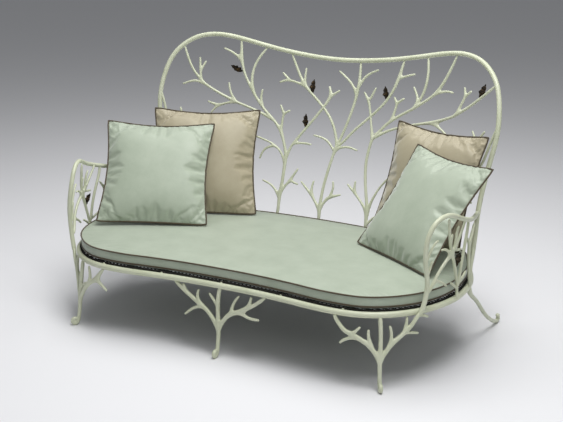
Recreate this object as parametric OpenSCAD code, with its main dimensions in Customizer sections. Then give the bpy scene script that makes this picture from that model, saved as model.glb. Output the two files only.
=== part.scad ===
// Twig sofa: a painted iron frame of forked rods, a mesh seat deck, one seat cushion and four pillows
// Millimetres. X runs along the seat, -Y is the front, +Z is up and the floor is z = 0

/* [Seat ring] */
// Width of the seat ring between its rod's centre lines
seat_w = 2074; // [1850:2:2300]
// Depth of the seat ring in the middle, front to back centre lines
seat_d = 1015; // [900:5:1100]
// Height of the seat ring's centre above the floor
seat_h = 350; // [310:2:400]
// Diameter of the seat ring's rod
ring_rod = 28.6; // [24:0.2:34]
// How far the ends of the back curve come forward of its middle
back_bow = 192; // [150:2:230]

/* [Back] */
// How far the back hoop's widest place lies inside the seat ring's, at each side
back_in = 39; // [30:1:50]
// Height of the back hoop above the seat ring, centre line to centre line
back_h = 1013; // [850:5:1150]
// Recline of the back from upright, in degrees
recline = 14.6; // [8:0.2:20]
// Diameter of the back hoop's rod
hoop_rod = 25; // [20:0.5:30]
// Distance along the seat ring from the middle of the back to the hoop's foot
hoop_foot = 1005; // [960:5:1040]

/* [Twigs] */
// Diameter of the tree trunks
trunk_rod = 16; // [13:0.5:20]
// Diameter of the trees' larger branches
branch_rod = 13.5; // [11:0.5:16]
// Diameter of the small twigs
twig_rod = 11.5; // [9:0.5:13]

/* [Arms] */
// Height of the arms above the seat ring, centre line to centre line
arm_h = 433; // [360:5:480]
// Diameter of the arm's rod
arm_rod = 22; // [18:0.5:26]
// How far the arm's rod stands outside the seat ring's centre line
arm_out = 22; // [18:0.5:25]
// How far the front of the left arm bellies out
arm_sway = 18; // [0:1:24]

/* [Legs] */
// Diameter of the legs and their scroll feet
leg_rod = 18.5; // [16:0.5:22]
// Diameter of the leg brackets' branches
bracket_rod = 18; // [15:0.5:21]
// Diameter of the leg brackets' twigs
bracket_twig = 13.5; // [11:0.5:15]
// Distance along the seat ring from the middle of the front to a corner leg
corner_leg = 834; // [790:2:870]
// Distance along the seat ring from a corner leg to a rear leg
rear_leg = 646; // [600:2:690]
// How far the front legs lean out at the floor
front_splay = 38; // [20:1:50]
// How far the rear legs sweep back at the floor
rear_sweep = 485; // [380:5:520]
// Outer radius of a scroll foot's centre line
scroll_r = 18; // [15:0.5:22]
// Depth of the flat worn under each scroll foot
foot_flat = 0.6; // [0.4:0.1:1]

/* [Leaves] */
// Length of a bronze leaf
leaf_l = 82; // [60:1:95]
// Width of a bronze leaf
leaf_w = 36; // [26:1:44]
// Thickness of a leaf
leaf_t = 2.5; // [2:0.1:4]

/* [Seat deck] */
// Diameter of the rod round the mesh deck
deck_rod = 12; // [10:0.5:14]
// Thickness of the mesh
mesh_t = 2.5; // [2:0.1:3.5]
// Spacing of the mesh's strands
mesh_pitch = 240; // [200:5:280]
// Width of a strand
mesh_strand = 10; // [7:0.5:14]
// Diameter of the cross bars under the mesh
bar_rod = 14; // [12:0.5:18]
// Spacing of the cross bars
bar_pitch = 330; // [280:5:360]

/* [Seat cushion] */
// Height of the seat cushion's boxing between the centres of its two pipings
boxing_h = 46; // [36:1:70]
// Height of the strip of underside that shows below the lower piping
strip_h = 12; // [7:1:16]
// Rise of the crown above the top piping
crown = 18; // [10:1:30]
// How far the cushion's edge lies inside the seat ring's centre line
cushion_inset = 20; // [19:1:34]
// Diameter of all piping
piping_d = 7; // [5:0.5:9]

/* [Pillows] */
// Side of a pillow, corner to corner
pillow_w = 596; // [540:2:620]
// Greatest thickness of a pillow
pillow_t = 140; // [110:2:150]
// How far the middle of a pillow's sides is drawn in
pillow_draw = 21; // [8:1:28]
// Lean of the tan pillows from upright
tan_lean = 27; // [23:1:30]
// Lean of the green pillows from upright
green_lean = 37; // [34:1:40]

/* [Hidden] */

cream = [0.80, 0.82, 0.70];
black = [0.06, 0.06, 0.06];
bronze = [0.16, 0.13, 0.09];
sage = [0.66, 0.73, 0.67];
tan_cloth = [0.62, 0.58, 0.48];
brown = [0.22, 0.16, 0.10];

// Room left between soft pieces and whatever carries them
soft_gap = 0.4;
// Sides of the tubes: thin twigs, branches, arms, legs, the two great hoops and the pipings
twig_sides = 5;
branch_sides = 6;
arm_sides = 7;
leg_sides = 6;
hoop_sides = 8;
piping_sides = 4;

// Curves

function unit(v) = v / max(norm(v), 1e-9);

// Slope at b on the way from a to c, each chord weighted by the other's length
function slope(a, b, c) =
  let (h = norm(b - a), k = norm(c - b))
  ((c - b) * h / k + (b - a) * k / h) / (h + k);

function hermite(p, m, q, n, t) =
  let (h = norm(q - p))
  p * (2 * t ^ 3 - 3 * t ^ 2 + 1) + m * h * (t ^ 3 - 2 * t ^ 2 + t)
  + q * (3 * t ^ 2 - 2 * t ^ 3) + n * h * (t ^ 3 - t ^ 2);

// Point at u on the smooth curve through e, whose first and last points only set the end slopes
function on_curve(e, u) =
  let (i = min(floor(u), len(e) - 4),
       m = slope(e[i], e[i + 1], e[i + 2]),
       n = slope(e[i + 1], e[i + 2], e[i + 3]))
  hermite(e[i + 1], m, e[i + 2], n, u - i);

// Smooth curve through p, as a number of points that divide it evenly
function curve(p, count) =
  let (n = len(p), e = concat([2 * p[0] - p[1]], p, [2 * p[n - 1] - p[n - 2]]))
  [for (i = [0 : count - 1]) on_curve(e, i * (n - 1) / (count - 1))];

function closed_curve(p, steps) =
  let (n = len(p), e = concat([p[n - 1]], p, [p[0], p[1]]))
  [for (i = [0 : n * steps - 1]) on_curve(e, i / steps)];

// Length along a path up to each of its points
function lengths(p) =
  [for (i = 0, s = 0; i < len(p); s = s + norm(p[min(i + 1, len(p) - 1)] - p[i]), i = i + 1) s];

// Seat ring: half of the outline from the middle of the front to the back's end, in thousandths of the
// half width and of the depth, then the bowed back

back_w = seat_w - 2 * back_in;
function bow(x) = let (u = 2 * x / back_w) back_bow * (0.77 * u ^ 2 + 0.23 * u ^ 4);

front_half = [
  [0, 0], [196, -5], [368, -21], [539, -42], [733, -21], [913, 132],
  [998, 365], [1000, 500], [985, 620], [950, 723], [892, 840]
];
back_half = [675, 386];
half_outline = concat(
  [for (p = front_half) [p.x * seat_w / 2000, (p.y / 1000 - 1) * seat_d]],
  [for (x = back_half) [x * seat_w / 2000, -bow(x * seat_w / 2000)]],
  [[0, 0]]
);
half_count = len(half_outline);
outline = concat(half_outline, [for (i = [half_count - 2 : -1 : 1]) [-half_outline[i].x, half_outline[i].y]]);
fine = 8;
ring_curve = closed_curve(outline, fine);
half_curve = [for (i = [0 : (half_count - 1) * fine]) ring_curve[i]];
half_s = lengths(half_curve);
half_len = half_s[len(half_s) - 1];
ring_x = [for (i = [0 : len(half_s) - 1]) [half_s[i], half_curve[i].x]];
ring_y = [for (i = [0 : len(half_s) - 1]) [half_s[i], half_curve[i].y]];

// Point and outward direction on the ring at a distance s from the middle of the front, +s to the right
function ring_xy(s) = [sign(s) * lookup(abs(s), ring_x), lookup(abs(s), ring_y) + shift_y];
function ring_out(s) = let (t = unit(ring_xy(s + 1) - ring_xy(s - 1))) [t.y, -t.x];
function at_ring(s, out, z) = let (p = ring_xy(s) + out * ring_out(s)) [p.x, p.y, z];

// Reclined back: u in thousandths of its half width, v in thousandths of its height above the ring
function panel(u, v) =
  let (x = u * back_w / 2000, z = v * back_h / 1000)
  [x, shift_y - bow(x) + tan(recline) * z, seat_h + z];

// Back hoop, right half from the middle of its top down to the height where the arm joins it
hoop_half = [
  [0, 903], [180, 913], [337, 932], [524, 968], [652, 994], [754, 1000],
  [837, 983], [902, 944], [946, 896], [971, 847], [994, 747], [1000, 650], [980, 525], [958, 395]
];
// The frame stands with the middle of its whole depth, foot scroll to hoop, at y = 0
hoop_top_y = tan(recline) * hoop_half[0].y * back_h / 1000 + hoop_rod / 2;
rear_ring_y = -lookup(corner_leg + rear_leg, [for (p = ring_y) [p[0], -p[1]]]);
rear_foot_y = rear_ring_y + rear_sweep + scroll_r + leg_rod / 2;
front_foot_y = -seat_d - front_splay - 2 * scroll_r - leg_rod / 2;
shift_y = -(front_foot_y + max(hoop_top_y, rear_foot_y)) / 2;

arm_joint = [946, 268];
hoop_low = [950, 135];
hoop_right = concat(
  [for (p = hoop_half) panel(p.x, p.y)],
  [panel(arm_joint.x, arm_joint.y), panel(hoop_low.x, hoop_low.y), at_ring(half_len - hoop_foot, 0, seat_h)]
);
function flip(p) = [-p.x, p.y, p.z];
hoop_points = concat(
  [for (i = [len(hoop_right) - 1 : -1 : 1]) flip(hoop_right[i])],
  hoop_right
);

// Tubes

function tangents(p, closed) =
  let (n = len(p))
  [for (i = [0 : n - 1])
    unit(closed ? p[(i + 1) % n] - p[(i + n - 1) % n] : p[min(i + 1, n - 1)] - p[max(i - 1, 0)])];

function square_to(v, t) = unit(v - t * (v * t));

// One direction square to the tube at each ring, turned as little as possible from the one before
function sides_of(t) =
  let (first = abs(t[0].z) < 0.8 ? [0, 0, 1] : [1, 0, 0], n = len(t))
  [for (i = 0, u = square_to(first, t[0]); i < n; u = square_to(u, t[min(i + 1, n - 1)]), i = i + 1) u];

// Rings of points round a path; r holds a radius for each, measured to the flats
function rings(path, r, sides, closed = false) =
  let (t = tangents(path, closed), u = sides_of(t))
  [for (i = [0 : len(path) - 1])
    [for (k = [0 : sides - 1])
      let (a = 360 * (k + 0.5) / sides)
      path[i] + (u[i] * cos(a) + cross(t[i], u[i]) * sin(a)) * r[i] / cos(180 / sides)]];

// Skin over rings of points
module skin(loops, closed = false) {
  n = len(loops);
  sides = len(loops[0]);
  wall = [for (i = [0 : closed ? n - 1 : n - 2], k = [0 : sides - 1])
    let (j = (i + 1) % n, m = (k + 1) % sides,
         a = i * sides + k, b = i * sides + m, c = j * sides + m, d = j * sides + k)
    each [[a, d, c], [a, c, b]]];
  ends = closed ? [] : [[for (k = [0 : sides - 1]) k], [for (k = [sides - 1 : -1 : 0]) (n - 1) * sides + k]];
  polyhedron([for (l = loops) each l], concat(wall, ends));
}

module tube(path, r, sides, closed = false) skin(rings(path, r, sides, closed), closed);

// Rod through a few points, tapering from diameter a to b, with a rounded tip where it ends free.
// Its root starts a little thinner, so that it stays hidden inside the rod that it leaves.
thin_root = 0.9;
tip_reach = 0.32;
tip_r = 0.27;
module rod(p, a, b, free = false, sides = branch_sides) {
  path = curve(p, len(p));
  n = len(path);
  tip = path[n - 1] + unit(path[n - 1] - path[n - 2]) * b * tip_reach;
  radii = [for (i = [0 : n - 1]) (i == 0 ? thin_root * a : a + (b - a) * i / (n - 1)) / 2];
  tube(free ? concat(path, [tip]) : path, free ? concat(radii, [b * tip_r]) : radii, sides);
}

// Rods welded together become one mesh, left at their own size
module welded() resize([0, 0, 0]) union() children();

taper = 0.94;
module twig(p) rod(p, twig_rod, taper * twig_rod, true, twig_sides);
module branch(p) rod(p, branch_rod, taper * branch_rod);
module trunk(p) rod(p, trunk_rod, branch_rod);

function on_panel(p) = [for (q = p) panel(q[0], q[1])];

// Back trees: points are thousandths of the back's half width and of its height

module tree_left() color(cream) welded() {
  trunk(on_panel([[-262, 0], [-246, 65], [-250, 140], [-244, 240], [-240, 345], [-246, 400], [-285, 500],
    [-335, 555], [-405, 610], [-465, 675]]));
  branch(on_panel([[-465, 675], [-495, 715], [-550, 795], [-572, 865], [-590, 983]]));
  branch(on_panel([[-465, 675], [-488, 715], [-505, 780], [-490, 865], [-430, 942]]));
  branch(on_panel([[-335, 555], [-440, 600], [-565, 636], [-675, 680], [-765, 727], [-815, 775], [-860, 830],
    [-905, 941]]));
  branch(on_panel([[-240, 360], [-220, 430], [-160, 510], [-55, 645], [-15, 715], [-35, 765]]));
  for (p = [
    [[-572, 865], [-625, 905], [-680, 925]],
    [[-412, 616], [-435, 670], [-430, 715]],
    [[-288, 505], [-290, 575], [-285, 595], [-310, 640]],
    [[-287, 590], [-275, 605], [-252, 616]],
    [[-790, 750], [-800, 800], [-810, 870]],
    [[-800, 795], [-788, 822], [-775, 850]],
    [[-765, 727], [-825, 750], [-885, 725]],
    [[-570, 637], [-615, 685], [-630, 740]],
    [[-570, 637], [-625, 635], [-675, 615], [-735, 635]],
    [[-675, 615], [-695, 600], [-710, 575]],
    [[-18, 710], [5, 728], [30, 745]],
    [[-208, 445], [-150, 455], [-100, 450]],
    [[-243, 340], [-280, 405], [-340, 440], [-430, 464]],
    [[-315, 427], [-380, 405], [-395, 350]],
    [[-250, 150], [-295, 215], [-360, 235]],
    [[-248, 185], [-200, 250], [-160, 315]],
    [[-198, 252], [-175, 240], [-150, 235]],
  ]) twig(on_panel(p));
}

module tree_centre() color(cream) welded() {
  trunk(on_panel([[12, 0], [3, 65], [0, 170], [10, 275], [35, 385], [52, 455]]));
  branch(on_panel([[52, 455], [50, 490], [15, 580], [-50, 650], [-135, 715], [-185, 760], [-225, 815],
    [-285, 921]]));
  branch(on_panel([[52, 455], [65, 480], [105, 590], [135, 715], [142, 810], [135, 910]]));
  branch(on_panel([[52, 455], [85, 475], [150, 555], [230, 625], [325, 720], [365, 810], [395, 942]]));
  for (p = [
    [[-176, 752], [-187, 785], [-185, 845]],
    [[-176, 752], [-240, 770], [-275, 775], [-320, 812]],
    [[-272, 775], [-300, 775], [-332, 762]],
    [[133, 705], [130, 740], [95, 795], [15, 845]],
    [[141, 770], [175, 840], [245, 870]],
    [[376, 840], [415, 855], [465, 870]],
    [[40, 430], [-5, 490], [-90, 500]],
    [[53, 445], [120, 465], [180, 450]],
    [[0, 115], [-55, 185], [-130, 250]],
    [[-52, 182], [-65, 225], [-55, 262]],
    [[2, 120], [35, 185], [115, 210]],
    [[50, 193], [70, 240], [60, 272]],
  ]) twig(on_panel(p));
}

module tree_right() color(cream) welded() {
  trunk(on_panel([[290, 0], [290, 65], [284, 170], [252, 295], [240, 395], [252, 480], [262, 520]]));
  branch(on_panel([[262, 515], [325, 595], [390, 645], [475, 695], [560, 752], [605, 790], [655, 865],
    [705, 998]]));
  branch(on_panel([[262, 520], [345, 570], [385, 585], [495, 620], [605, 645], [715, 685], [815, 752],
    [910, 835], [958, 878]]));
  branch(on_panel([[475, 692], [530, 770], [550, 865], [530, 969]]));
  for (p = [
    [[262, 515], [235, 630], [217, 700], [180, 750]],
    [[217, 712], [230, 745], [245, 777]],
    [[362, 625], [378, 690], [380, 715], [362, 742]],
    [[380, 712], [398, 728], [420, 742]],
    [[498, 722], [500, 760], [470, 805]],
    [[605, 788], [665, 810], [705, 805]],
    [[605, 645], [680, 610], [715, 580]],
    [[735, 695], [770, 770], [780, 800], [770, 838]],
    [[779, 795], [795, 812], [812, 826]],
    [[285, 150], [225, 210], [150, 270]],
    [[207, 226], [192, 255], [195, 290]],
    [[290, 110], [300, 195], [340, 280], [390, 335]],
    [[290, 70], [320, 118], [368, 145]],
  ]) twig(on_panel(p));
}

// The outer trees fill the back's lower corners behind the pillows. Only the right one has tips above them.
right_tips = [
  [[884, 590], [867, 612], [850, 638]],
  [[881, 583], [900, 618], [922, 648]]
];
module tree_outer(tips) color(cream) welded() {
  trunk(on_panel([[672, 0], [668, 90], [690, 200], [735, 300], [800, 390]]));
  branch(on_panel([[796, 385], [875, 440], [930, 480], [948, 545], [965, 600], [997, 690]]));
  branch(on_panel([[792, 378], [833, 470], [868, 540], [884, 602]]));
  for (p = concat(tips, [
    [[688, 195], [630, 260], [570, 330]],
    [[735, 300], [715, 390], [660, 460]],
    [[775, 360], [850, 350], [900, 300]],
  ])) twig(on_panel(p));
}

module tree_outer_right() tree_outer(right_tips);
module tree_outer_left() mirror([1, 0, 0]) tree_outer([]);

module seat_ring() color(cream) {
  path = [for (p = closed_curve(outline, 2)) [p.x, p.y + shift_y, seat_h]];
  tube(path, [for (p = path) ring_rod / 2], hoop_sides, true);
}

module back_hoop() color(cream) {
  path = curve(hoop_points, 55);
  tube(path, [for (p = path) hoop_rod / 2], hoop_sides);
}

// Arms: a distance along the ring from the corner leg, and thousandths of the arm's height above the ring.
// The left arm's belly: fullest two fifths of the way up, inward near the top, faded out towards the back
sway_full = 300;
sway_end = 560;
function belly(s, v) = sin(360 * v / 1600) * min(max((sway_end - s) / (sway_end - sway_full), 0), 1);
function at_arm(s, out, v, sway) =
  at_ring(corner_leg + s, out + sway * belly(s, v), seat_h + v * arm_h / 1000);

arm_front = [
  [178, -20], [197, 85], [211, 298], [196, 554], [202, 785], [243, 950], [309, 1000], [350, 985],
  [427, 912], [481, 871]
];
arm_rear = [[568, 10, 812], [752, 3, 724]];

module arm_hoop(sway) color(cream) {
  points = concat(
    [for (p = arm_front) at_arm(p[0], arm_out, p[1], sway)],
    [for (p = arm_rear) at_arm(p[0], p[1], p[2], sway)],
    [panel(arm_joint.x, arm_joint.y)]
  );
  path = curve(points, 29);
  tube(path, [for (p = path) arm_rod / 2], arm_sides);
}
module arm_hoop_right() arm_hoop(0);
module arm_hoop_left() mirror([1, 0, 0]) arm_hoop(arm_sway);

// Twigs that fill an arm, standing on the ring and on the arm's rod
twig_out = 10;
module arm_twigs(sway, stems, twigs) color(cream) welded() {
  for (p = stems) rod([for (q = p) at_arm(q[0], twig_out, q[1], sway)], branch_rod, branch_rod);
  for (p = twigs) twig([for (q = p) at_arm(q[0], twig_out, q[1], sway)]);
}
front_stems = [
  [[205, 165], [237, 212], [272, 358], [320, 470], [376, 552], [410, 640]],
  [[340, 960], [356, 680], [398, 437], [440, 152], [434, 10]]
];
front_twigs = [
  [[202, 500], [226, 618], [252, 722], [272, 741]],
  [[210, 310], [226, 427], [242, 527]],
  [[400, 610], [409, 770], [425, 822]],
  [[398, 585], [440, 709], [478, 810], [488, 855]],
  [[398, 575], [428, 562], [456, 556]],
  [[374, 545], [327, 628], [299, 628]],
  [[362, 650], [366, 700], [373, 757]],
  [[262, 320], [320, 259], [344, 210]],
  [[430, 130], [405, 185], [378, 222]]
];
rear_stems = [
  [[440, 140], [471, 388], [505, 600], [532, 720], [540, 845]],
  [[612, 10], [572, 330], [572, 525], [615, 640]],
  [[628, 10], [622, 180], [638, 310], [660, 440]]
];
rear_twigs = [
  [[450, 185], [495, 215], [532, 255]],
  [[612, 635], [635, 690], [656, 715]],
  [[574, 520], [548, 590], [535, 625]]
];
module arm_twigs_right() arm_twigs(0, front_stems, front_twigs);
module arm_twigs_left() mirror([1, 0, 0]) arm_twigs(arm_sway, front_stems, front_twigs);
module arm_twigs_rear_right() arm_twigs(0, rear_stems, rear_twigs);
module arm_twigs_rear_left() mirror([1, 0, 0]) arm_twigs(arm_sway, rear_stems, rear_twigs);

// Legs: a distance along the ring from the leg, thousandths of the ring's height and, on the branches that
// pass the ring, how far they stand outside it. The leg leans out at the foot.

function at_leg(leg, q) =
  at_ring(leg + q[0], front_splay * (1 - q[1] / 1000) + (len(q) > 2 ? q[2] : 0), q[1] * seat_h / 1000);

// Spiral of a scroll foot from angle a through turn degrees, its lowest point on the floor.
// Each point is a distance out from the scroll's middle and a height.
scroll_in = 7;
hook_in = 12;
scroll_step = 36;
function scroll(a, turn, inner) =
  let (count = floor(turn / scroll_step),
       r_low = scroll_r - (scroll_r - inner) * (270 - a) / turn,
       z = leg_rod / 2 - foot_flat + r_low)
  [for (i = [0 : count])
    let (r = scroll_r - (scroll_r - inner) * i / count, b = a + i * scroll_step)
    [r * cos(b), z + r * sin(b)]];

// Whatever lies under the floor is worn off
module on_floor() {
  reach = 2 * seat_w;
  difference() {
    welded() children();
    translate([-reach / 2, -reach / 2, -leg_rod]) cube([reach, reach, leg_rod]);
  }
}

// Front leg: its rod hangs from the ring and ends in a scroll that curls outward
module front_leg(leg, upper, branches, twigs) color(cream) on_floor() {
  out = ring_out(leg);
  foot = ring_xy(leg) + out * (front_splay + scroll_r);
  curl = [for (q = scroll(180, 504, scroll_in)) [foot.x + out.x * q.x, foot.y + out.y * q.x, q.y]];
  straight = [for (q = upper) at_leg(leg, q)];
  path = concat(curve(concat(straight, [curl[0]]), 10), [for (i = [1 : len(curl) - 1]) curl[i]]);
  tube(path, [for (p = path) leg_rod / 2], leg_sides);
  for (p = branches) rod([for (q = p) at_leg(leg, q)], leg_rod, bracket_rod);
  for (p = twigs) rod([for (q = p) at_leg(leg, q)], bracket_twig, taper * bracket_twig, true, twig_sides);
}

centre_upper = [[-4, 985], [-10, 850], [-8, 600], [0, 420], [0, 150]];
module leg_front_centre() front_leg(0, centre_upper,
  [
    [[0, 370], [-18, 470], [-58, 611], [-130, 731], [-200, 851], [-256, 975]],
    [[0, 370], [12, 470], [44, 609], [116, 709], [194, 829], [252, 975]],
  ],
  [
    [[-10, 700], [-25, 760], [-60, 866]],
    [[-110, 700], [-129, 809], [-121, 886]],
    [[-170, 800], [-192, 850], [-204, 930]],
    [[-90, 670], [-141, 640], [-189, 520]],
    [[60, 630], [74, 800], [101, 900]],
    [[140, 745], [166, 840], [170, 925]],
    [[100, 695], [172, 623], [218, 637]],
  ]);

corner_upper = [[0, 985], [4, 700], [0, 400], [0, 150]];
// The outer branch of each corner leg passes outside the ring and goes on as the arm
to_arm = [[0, 370], [15, 470], [49, 609], [107, 737], [148, 860, arm_out / 2], [178, 1015, arm_out]];
module leg_front_right() front_leg(corner_leg, corner_upper,
  [
    [[0, 370], [-12, 470], [-46, 614], [-107, 720], [-161, 775], [-201, 900], [-211, 975]],
    to_arm,
  ],
  [
    [[-30, 570], [-52, 720], [-50, 805]],
    [[-150, 755], [-115, 760], [-90, 837]],
    [[-105, 718], [-160, 657], [-174, 606]],
    [[42, 590], [54, 734], [45, 851]],
    [[105, 730], [122, 850], [126, 945]],
    [[112, 750], [140, 745], [178, 723]],
    [[172, 940], [205, 950], [236, 909]],
  ]);

module leg_front_left() mirror([1, 0, 0]) front_leg(corner_leg, corner_upper,
  [
    [[0, 370], [-15, 470], [-55, 645], [-135, 810], [-178, 975]],
    to_arm,
  ],
  [
    [[-2, 560], [-25, 640], [-62, 690]],
    [[0, 620], [20, 700], [28, 770]],
    [[-72, 690], [-90, 805], [-72, 935]],
    [[-130, 795], [-180, 705], [-200, 665]],
    [[105, 740], [122, 850], [126, 945]],
    [[172, 940], [205, 950], [236, 909]],
  ]);

// Rear leg: sweeps back from the side of the ring and hooks up behind; each point is a share of the sweep
// and of the ring's height
rear_shape = [[0, 985], [40, 890], [130, 785], [270, 665], [485, 410], [735, 175], [890, 70]];
// The rear leg is thicker at its top by this much, less a step at each ring of the tube
rear_swell = 8;
rear_step = 2;
module leg_rear() color(cream) on_floor() {
  top = ring_xy(corner_leg + rear_leg);
  curl = [for (q = scroll(270, 216, hook_in)) [top.x, top.y + rear_sweep + q.x, q.y]];
  down = [for (q = rear_shape) [top.x, top.y + q.x * rear_sweep / 1000, q.y * seat_h / 1000]];
  path = concat(curve(concat(down, [curl[0]]), 13), [for (i = [1 : len(curl) - 1]) curl[i]]);
  thick = [for (i = [0 : len(path) - 1]) (leg_rod + max(0, rear_swell - rear_step * i)) / 2];
  tube(path, thick, leg_sides);
}
module leg_rear_right() leg_rear();
module leg_rear_left() mirror([1, 0, 0]) leg_rear();

// Leaf: a folded blade from its base towards a tip, with its face turned to the front
leaf_width = [0.12, 0.7, 1, 0.86, 0.52, 0.06];
leaf_curl = [0, 0.3, 0.5, 0.3, -0.2, -1];
leaf_fold = 0.22;
module leaf(base, tip) {
  along = unit(tip - base);
  face = square_to([0, -1, 0], along);
  across = cross(along, face);
  count = len(leaf_width);
  function blade(i, side, back) =
    let (w = leaf_width[i] * leaf_w / 2)
    base + along * leaf_l * i / (count - 1) + across * side * w
    + face * (leaf_t * leaf_curl[i] * 2 + abs(side) * w * leaf_fold * 2 - back * leaf_t);
  points = [for (i = [0 : count - 1], back = [0, 1], side = [-1, 0, 1]) blade(i, side, back)];
  blade_skin = [for (i = [0 : count - 2]) let (a = 6 * i, b = a + 6) each [
    [a, b + 1, a + 1], [a, b, b + 1], [a + 1, b + 2, a + 2], [a + 1, b + 1, b + 2],
    [a + 3, a + 4, b + 4], [a + 3, b + 4, b + 3], [a + 4, a + 5, b + 5], [a + 4, b + 5, b + 4],
    [a, b + 3, b], [a, a + 3, b + 3], [a + 2, b + 2, b + 5], [a + 2, b + 5, a + 5]
  ]];
  last = 6 * (count - 1);
  ends = [
    [0, 1, 4], [0, 4, 3], [1, 2, 5], [1, 5, 4],
    [last, last + 4, last + 1], [last, last + 3, last + 4],
    [last + 1, last + 5, last + 2], [last + 1, last + 4, last + 5]
  ];
  polyhedron(points, concat(blade_skin, ends));
}

// Base and tip of each leaf on the back, in panel thousandths
leaf_places = [
  [[-556, 806], [-640, 838]], [[-142, 533], [-156, 625]], [[-131, 716], [-130, 812]],
  [[323, 722], [290, 815]], [[868, 797], [898, 895]]
];
module back_leaf(i) color(bronze)
  leaf(panel(leaf_places[i][0][0], leaf_places[i][0][1]), panel(leaf_places[i][1][0], leaf_places[i][1][1]));
module arm_leaf(sway) color(bronze) leaf(at_arm(408, twig_out, 378, sway), at_arm(468, twig_out, 560, sway));

// Seat deck: a rod loop welded inside the ring carries a flat mesh on cross bars

deck_in = 12;
deck_z = seat_h + sqrt((ring_rod / 2 + deck_rod / 2 - 1.2) ^ 2 - deck_in ^ 2);
deck_top = deck_z + deck_rod / 2;
module deck_rod_loop() color(black) {
  count = 44;
  tube(
    [for (i = [0 : count - 1]) at_ring(half_len * (2 * i / count - 1), -deck_in, deck_z)],
    [for (i = [1 : count]) deck_rod / 2],
    twig_sides, true
  );
}

module deck_mesh() color(black) translate([0, 0, deck_top - mesh_t]) linear_extrude(mesh_t) {
  count = 44;
  edge = [for (i = [0 : count - 1])
    let (p = at_ring(half_len * (2 * i / count - 1), -deck_in, 0)) [p.x, p.y]];
  inner = [for (i = [0 : count - 1])
    let (p = at_ring(half_len * (2 * i / count - 1), -deck_in - deck_rod, 0)) [p.x, p.y]];
  hole = mesh_pitch - mesh_strand;
  nx = ceil(seat_w / mesh_pitch);
  ny = ceil(seat_d * 1.1 / mesh_pitch);
  difference() {
    polygon(edge);
    intersection() {
      polygon(inner);
      translate([0, shift_y - seat_d / 2])
        for (i = [0 : nx - 1], j = [0 : ny - 1])
          translate([(i - (nx - 1) / 2) * mesh_pitch, (j - (ny - 1) / 2) * mesh_pitch])
            square(hole, center = true);
    }
  }
}

// Cross bar i counted from the middle, welded to the ring at the front and the back
module cross_bar(i) color(cream) {
  z = deck_top - mesh_t - bar_rod / 2;
  a = at_ring(i * bar_pitch, 0, z);
  b = at_ring((i < 0 ? -1 : 1) * (half_len - abs(i) * bar_pitch), 0, z);
  line = b - a;
  translate(a) rotate([-90, 0, -atan2(line.x, line.y)]) cylinder(d = bar_rod, h = norm(line), $fn = 32);
}

// Seat cushion: the ring's outline drawn in, with a crowned top, boxing and a rounded underside

cushion_count = 48;
cushion_bottom = deck_top + soft_gap;
piping_low = cushion_bottom + strip_h;
piping_high = piping_low + boxing_h;
crown_top = piping_high + crown;
function cushion_loop(inset, z) =
  [for (i = [0 : cushion_count - 1]) at_ring(half_len * (2 * i / cushion_count - 1), -inset, z)];
// Shares of the way from the top seam to the middle, and of the crown's rise there
crown_steps = [[0.1, 0.45], [0.28, 0.8], [0.6, 0.97]];
// The underside's edge: how far in its flat begins, and the in and up of the round's middle
under_in = 30;
round_in = 8;
round_up = 3;
boxing_swell = 1.5;
module seat_cushion() color(sage) {
  n = cushion_count;
  middle = [0, shift_y - seat_d / 2];
  seam = cushion_loop(cushion_inset, piping_high);
  domes = [for (c = crown_steps) [for (p = seam)
    [p.x + (middle.x - p.x) * c[0], p.y + (middle.y - p.y) * c[0], piping_high + crown * c[1]]]];
  loops = concat(
    [cushion_loop(cushion_inset + under_in, cushion_bottom),
     cushion_loop(cushion_inset + round_in, cushion_bottom + round_up),
     cushion_loop(cushion_inset, piping_low),
     cushion_loop(cushion_inset - boxing_swell, (piping_low + piping_high) / 2),
     seam],
    domes
  );
  m = len(loops);
  points = concat(
    [for (l = loops) each l],
    [[middle.x, middle.y, cushion_bottom], [middle.x, middle.y, crown_top]]
  );
  faces = concat(
    [for (j = [0 : m - 2], i = [0 : n - 1]) let (k = (i + 1) % n)
      each [[j * n + i, (j + 1) * n + i, (j + 1) * n + k], [j * n + i, (j + 1) * n + k, j * n + k]]],
    [for (i = [0 : n - 1]) let (k = (i + 1) % n) each [
      [m * n, i, k], [m * n + 1, (m - 1) * n + k, (m - 1) * n + i]
    ]]
  );
  polyhedron(points, faces);
}

module seat_piping(z) color(brown) {
  path = cushion_loop(cushion_inset - 1, z);
  tube(path, [for (p = path) piping_d / 2], piping_sides, true);
}

// Pillows: each is a square of cloth drawn in along its sides, swollen to its thickness in the middle.
// a and b run from -1 to 1 across it; a pillow stands on the middle of its lower side.

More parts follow.
